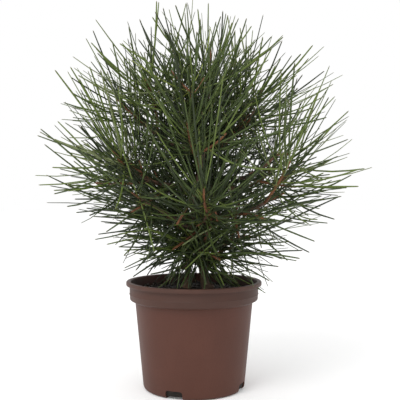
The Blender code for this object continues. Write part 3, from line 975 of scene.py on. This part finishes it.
def only(obj):
    """Makes this the one selected and active object."""
    bpy.ops.object.select_all(action="DESELECT")
    obj.select_set(True)
    bpy.context.view_layer.objects.active = obj


def dress(obj, material, nodes):
    """Gives a piece its finish and its place in the frame."""
    if material is not None:
        obj.data.materials.clear()
        obj.data.materials.append(material)
    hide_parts(*nodes)
    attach(obj, "root")
    return obj


def lathe(name, profile, sides):
    """A closed turned form, drawn up ring by ring from the disc at the start of its profile."""
    (radius, height), *rings = profile
    bpy.ops.object.select_all(action="DESELECT")
    bpy.ops.mesh.primitive_circle_add(
        vertices=sides, radius=radius, fill_type="NGON", location=(0, 0, height)
    )
    obj = bpy.context.object
    obj.name = name
    bpy.ops.object.transform_apply(location=True, rotation=True, scale=True)
    bpy.ops.object.mode_set(mode="EDIT")
    bpy.ops.mesh.select_all(action="SELECT")
    for next_radius, next_height in rings:
        bpy.ops.mesh.extrude_region_move(
            TRANSFORM_OT_translate={"value": (0, 0, next_height - height)}
        )
        share = next_radius / radius
        bpy.ops.transform.resize(value=(share, share, 1), center_override=(0, 0, next_height))
        radius, height = next_radius, next_height
    bpy.ops.mesh.select_all(action="SELECT")
    bpy.ops.mesh.normals_make_consistent(inside=False)
    bpy.ops.object.mode_set(mode="OBJECT")
    return obj


def arc(centre, radius, first, last, steps):
    """Points of a profile round an arc, its angles in degrees from outwards and level."""
    angles = [math.radians(between((first, last), step / steps)) for step in range(steps + 1)]
    return [(centre[0] + radius * math.cos(turn), centre[1] + radius * math.sin(turn)) for turn in angles]


def pot_profile():
    """The pot's outline from its underside up to the lip and down inside to its floor."""
    lip_foot = POT_HEIGHT - LIP_THICKNESS
    inner = BAND_RADIUS - WALL
    ridge_foot = BAND_FOOT_RADIUS + 0.75 * BAND_STEP
    return [
        (FOOT_RADIUS - 3 * FOOT_ROUND, 0.0),
        *arc((FOOT_RADIUS - FOOT_ROUND, FOOT_ROUND), FOOT_ROUND, -90, 0, 6),
        (BODY_TOP_RADIUS, BODY_TOP_HEIGHT),
        (BAND_FOOT_RADIUS - 1.5 * BAND_STEP, BAND_FOOT_HEIGHT - BAND_STEP),
        (BAND_FOOT_RADIUS, BAND_FOOT_HEIGHT + BAND_STEP),
        (ridge_foot, RIDGE_HEIGHT - RIDGE_HALF),
        (ridge_foot + RIDGE_PROUD, RIDGE_HEIGHT),
        (BAND_FOOT_RADIUS + BAND_STEP, RIDGE_HEIGHT + RIDGE_HALF),
        (BAND_RADIUS - 0.0003, lip_foot - 0.0010),
        (BAND_RADIUS + 0.0005, lip_foot),
        *arc((LIP_RADIUS - LIP_ROUND, lip_foot + LIP_ROUND), LIP_ROUND, -90, 0, 4),
        *arc((LIP_RADIUS - LIP_ROUND, POT_HEIGHT - LIP_ROUND), LIP_ROUND, 0, 90, 4),
        *arc((inner + LIP_ROUND, POT_HEIGHT - LIP_ROUND), LIP_ROUND, 90, 180, 4),
        (BAND_FOOT_RADIUS - WALL, BAND_FOOT_HEIGHT),
        (BODY_TOP_RADIUS - WALL, BODY_TOP_HEIGHT),
        (FOOT_RADIUS - WALL, FLOOR),
    ]


def cut_notches(pot):
    """Cuts the drain notches through the pot's foot."""
    for number in range(NOTCH_COUNT):
        angle = NOTCH_FIRST + math.tau * number / NOTCH_COUNT
        middle = direction(angle, 0) * FOOT_RADIUS
        bpy.ops.object.select_all(action="DESELECT")
        bpy.ops.mesh.primitive_cube_add(size=1, location=middle, rotation=(0, 0, angle))
        cutter = bpy.context.object
        cutter.scale = (2 * NOTCH_DEPTH, NOTCH_WIDTH, 2 * NOTCH_HEIGHT)
        bpy.ops.object.transform_apply(location=False, rotation=False, scale=True)
        bpy.ops.object.mode_set(mode="EDIT")
        bpy.ops.mesh.select_all(action="DESELECT")
        bpy.ops.object.mode_set(mode="OBJECT")
        for edge in cutter.data.edges:
            first, second = (cutter.data.vertices[index].co for index in edge.vertices)
            edge.select = abs(first.x - second.x) > NOTCH_DEPTH
        bpy.ops.object.mode_set(mode="EDIT")
        bpy.ops.mesh.bevel(offset=NOTCH_CORNER, segments=NOTCH_CORNER_STEPS, affect="EDGES")
        bpy.ops.object.mode_set(mode="OBJECT")
        only(pot)
        cut = pot.modifiers.new("Notch", "BOOLEAN")
        cut.operation = "DIFFERENCE"
        cut.solver = "EXACT"
        cut.object = cutter
        bpy.ops.object.modifier_apply(modifier=cut.name)
        bpy.data.objects.remove(cutter)


def soil_profile():
    """The soil's outline, up the inside of the pot and in over its top in many rings."""
    edge = BAND_FOOT_RADIUS - WALL - SOIL_GAP
    shares = [1 - ring / SOIL_RINGS for ring in range(SOIL_RINGS)]
    return [
        (FOOT_RADIUS - WALL - SOIL_GAP, FLOOR + SOIL_GAP),
        (BODY_TOP_RADIUS - WALL - SOIL_GAP, BODY_TOP_HEIGHT + SOIL_GAP),
        (edge, BAND_FOOT_HEIGHT + SOIL_GAP),
        *((edge * share, SOIL_HEIGHT - SOIL_EDGE_DROP * share**3) for share in shares),
    ]


def roughen(obj, relief, scale, above=-1.0):
    """Moves each point above a height in or out along its normal by soft noise."""
    mesh = obj.data
    normals = [vertex.normal.copy() for vertex in mesh.vertices]
    for vertex, normal in zip(mesh.vertices, normals):
        if vertex.co.z > above:
            place = Vector([part * stretch for part, stretch in zip(vertex.co, scale)])
            vertex.co += normal * relief * noise.fractal(place, 0.8, 2.1, 4)
    mesh.update()


def crumbs(rng, material):
    """Small lumps of peat strewn over the soil, as one object."""
    corners = np.array([(1, 0, 0), (-1, 0, 0), (0, 1, 0), (0, -1, 0), (0, 0, 1), (0, 0, -1)], dtype=float)
    sides = [[0, 2, 4], [2, 1, 4], [1, 3, 4], [3, 0, 4], [2, 0, 5], [1, 2, 5], [3, 1, 5], [0, 3, 5]]
    points, faces = [], []
    edge = BAND_FOOT_RADIUS - WALL - CRUMB_MARGIN
    for number in range(CRUMBS):
        out = edge * math.sqrt(rng.random())
        angle = rng.uniform(0, math.tau)
        size = rng.uniform(*CRUMB_SIZES)
        middle = np.array([out * math.cos(angle), out * math.sin(angle), SOIL_HEIGHT + size * CRUMB_RISE])
        shape = corners * [[size * rng.uniform(*CRUMB_SHAPES) for _ in range(3)] for _ in corners]
        turn = np.array(Matrix.Rotation(rng.uniform(0, math.tau), 3, "Z"))
        points.append(shape @ turn.T + middle)
        faces += [[corner + 6 * number for corner in side] for side in sides]
    return mesh_of("soil_crumbs", np.concatenate(points), faces, [material])


def limb(name, points, radii, sides):
    """A round tapering limb along the points, from a bevelled curve."""
    data = bpy.data.curves.new(name, "CURVE")
    data.dimensions = "3D"
    data.bevel_depth = 1.0
    data.bevel_resolution = (sides - 4) // 2
    data.use_fill_caps = True
    spline = data.splines.new("POLY")
    spline.points.add(len(points) - 1)
    for knot, point, radius in zip(spline.points, points, radii):
        knot.co = (*point, 1)
        knot.radius = radius
    guide = bpy.data.objects.new(name, data)
    bpy.context.scene.collection.objects.link(guide)
    only(guide)
    bpy.ops.object.convert(target="MESH")
    obj = bpy.context.object
    bpy.ops.object.mode_set(mode="EDIT")
    bpy.ops.mesh.select_all(action="SELECT")
    bpy.ops.mesh.remove_doubles(threshold=1e-6)
    bpy.ops.mesh.normals_make_consistent(inside=False)
    bpy.ops.object.mode_set(mode="OBJECT")
    return obj


def stem_radii(points, foot_radius, tip_radius, flare):
    """The radius at each of a stem's points, with a flare at its foot."""
    length = points[-1].z - points[0].z
    rises = [point.z - points[0].z for point in points]
    return [
        foot_radius + (tip_radius - foot_radius) * rise / length + flare * math.exp(-rise / FLARE_HEIGHT)
        for rise in rises
    ]


class PINE_OT_pot(Operator):
    """Model the nursery pot"""

    bl_idname = "pine.pot"
    bl_label = "Pot"

    def execute(self, context):
        pot = lathe("nursery_pot", pot_profile(), POT_SIDES)
        cut_notches(pot)
        only(pot)
        bpy.ops.object.shade_smooth_by_angle(angle=POT_SMOOTH_ANGLE)
        dress(pot, pot_plastic(context.scene.pine_pot), ["pot"])
        return {"FINISHED"}


class PINE_OT_soil(Operator):
    """Model the potting soil and its crumbs"""

    bl_idname = "pine.soil"
    bl_label = "Soil"

    def execute(self, context):
        material = potting_soil(context.scene.pine_pot)
        soil = lathe("soil_bed", soil_profile(), SOIL_SIDES)
        only(soil)
        bpy.ops.object.shade_smooth()
        roughen(soil, SOIL_RELIEF, SOIL_GRAIN, above=SOIL_SMOOTH_BELOW)
        dress(soil, material, ["soil"])
        loose = crumbs(random.Random(SEED), material)
        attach(loose, "root")
        return {"FINISHED"}


class PINE_OT_stems(Operator):
    """Model the trunk, the second stem and the boughs with their bark"""

    bl_idname = "pine.stems"
    bl_label = "Stems and boughs"

    def execute(self, context):
        wood = context.scene.pine_wood
        bark = bark_of("old_bark", tuple(wood.bark_colour), 0.35, wood)
        young = bark_of("bough_bark", tuple(wood.bark_colour), 0.85, wood)
        main_stem, side_stem, _, boughs = lay_out()
        stems = (
            ("trunk", main_stem, TRUNK_FOOT_RADIUS, TRUNK_TIP_RADIUS, TRUNK_FLARE),
            ("second_stem", side_stem, SECOND_FOOT_RADIUS, BOUGH_TIP_RADIUS, SECOND_FLARE),
        )
        for node, points, foot_radius, tip_radius, flare in stems:
            radii = stem_radii(points, foot_radius, tip_radius, flare)
            obj = limb(f"{node}_bark", points, radii, STEM_SIDES)
            roughen(obj, BARK_RELIEF, BARK_GRAIN, above=BARK_FROM)
            only(obj)
            bpy.ops.object.shade_smooth()
            dress(obj, bark, [node])
        made = []
        for mass, foot in boughs:
            points = bough_path(foot, mass)
            taper = (BOUGH_TIP_RADIUS - BOUGH_RADIUS) / (len(points) - 1)
            radii = [BOUGH_RADIUS + taper * number for number in range(len(points))]
            obj = limb(f"bough_{mass.name}_bark", points, radii, BOUGH_SIDES)
            roughen(obj, BOUGH_RELIEF, BOUGH_GRAIN)
            made.append(obj)
        bpy.ops.object.select_all(action="DESELECT")
        for obj in made:
            obj.select_set(True)
        bpy.context.view_layer.objects.active = made[0]
        bpy.ops.object.join()
        joined = bpy.context.object
        joined.name = "bough_bark"
        bpy.ops.object.shade_smooth()
        dress(joined, young, [f"bough_{mass.name}" for mass, _ in boughs])
        return {"FINISHED"}


class PINE_OT_shoots(Operator):
    """Grow the reddish shoots that carry the needles"""

    bl_idname = "pine.shoots"
    bl_label = "Shoots"

    def execute(self, context):
        wood = context.scene.pine_wood
        red = bark_of("red_shoot_bark", tuple(wood.shoot_colour), 0.5, wood)
        shoots = all_shoots(context.scene.pine_needles)
        piece = shoot_piece("red_shoots", shoots, red)
        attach(piece, "root")
        return {"FINISHED"}


class PINE_OT_needles(Operator):
    """Grow the whorls of needles, one piece for each tier"""

    bl_idname = "pine.needles"
    bl_label = "Needles"

    def execute(self, context):
        settings = context.scene.pine_needles
        materials = [needle_green(name, colour) for name, colour in TINTS]
        for tier, needles in grown_needles(settings).items():
            piece = needle_piece(f"{tier}_whorls", needles, settings, materials)
            nodes = [node for node in NODES if node.startswith(f"needles_{tier}")]
            dress(piece, None, nodes)
        return {"FINISHED"}


class PINE_OT_stage(Operator):
    """Set the floor, the lights and the camera"""

    bl_idname = "pine.stage"
    bl_label = "Stage"

    def execute(self, context):
        stage = context.scene.pine_stage
        bpy.ops.object.select_all(action="DESELECT")
        bpy.ops.mesh.primitive_circle_add(vertices=96, radius=FLOOR_RADIUS, fill_type="NGON")
        floor = bpy.context.object
        floor.name = "studio_floor"
        pale = Graph("pale_floor")
        floor.data.materials.append(
            pale.finish(
                base_color=FLOOR_COLOUR,
                roughness=0.9,
                emission_color=(1, 1, 1),
                emission_strength=stage.floor_glow,
            )
        )
        world = bpy.data.worlds.new("studio")
        world.use_nodes = True
        sky = world.node_tree.nodes["Background"]
        sky.inputs["Color"].default_value = (1, 1, 1, 1)
        sky.inputs["Strength"].default_value = stage.sky_strength
        context.scene.world = world
        bpy.ops.object.light_add(type="AREA", location=KEY_LIGHT_PLACE)
        key = bpy.context.object
        key.name = "key_light"
        key.data.shape = "DISK"
        key.data.size = KEY_LIGHT_SIZE
        key.data.energy = stage.key_power
        key.rotation_euler = (CROWN - key.location).to_track_quat("-Z", "Y").to_euler()
        bpy.ops.object.camera_add(
            location=(CROWN.x, -stage.camera_distance, stage.camera_height), rotation=(math.pi / 2, 0, 0)
        )
        camera = bpy.context.object
        camera.name = "photo_camera"
        camera.data.sensor_width = SENSOR_WIDTH
        camera.data.lens = stage.lens
        camera.data.clip_start = NEAREST_SHOWN
        context.scene.camera = camera
        context.scene.view_settings.view_transform = "Standard"
        return {"FINISHED"}


class PINE_PT_panel(Panel):
    """Lists the pieces and their settings"""

    bl_label = "Umbrella pine"
    bl_idname = "PINE_PT_panel"
    bl_space_type = "VIEW_3D"
    bl_region_type = "UI"
    bl_category = "Pine"

    def draw(self, context):
        for name in SETTINGS:
            group = getattr(context.scene, name)
            box = self.layout.box()
            for key in group.__annotations__:
                box.prop(group, key)
        for operator in OPERATORS:
            self.layout.operator(operator.bl_idname)


SETTINGS = {
    "pine_pot": PinePotSettings,
    "pine_wood": PineWoodSettings,
    "pine_needles": PineNeedleSettings,
    "pine_stage": PineStageSettings,
}
OPERATORS = (
    PINE_OT_stage,
    PINE_OT_pot,
    PINE_OT_soil,
    PINE_OT_stems,
    PINE_OT_shoots,
    PINE_OT_needles,
)


def register():
    for name, group in SETTINGS.items():
        bpy.utils.register_class(group)
        setattr(bpy.types.Scene, name, PointerProperty(type=group))
    for operator in OPERATORS:
        bpy.utils.register_class(operator)
    bpy.utils.register_class(PINE_PT_panel)


def unregister():
    bpy.utils.unregister_class(PINE_PT_panel)
    for operator in reversed(OPERATORS):
        bpy.utils.unregister_class(operator)
    for name, group in SETTINGS.items():
        delattr(bpy.types.Scene, name)
        bpy.utils.unregister_class(group)


def main():
    """Builds every piece."""
    register()
    for operator in OPERATORS:
        family, name = operator.bl_idname.split(".")
        getattr(getattr(bpy.ops, family), name)()


if __name__ == "__main__":
    main()
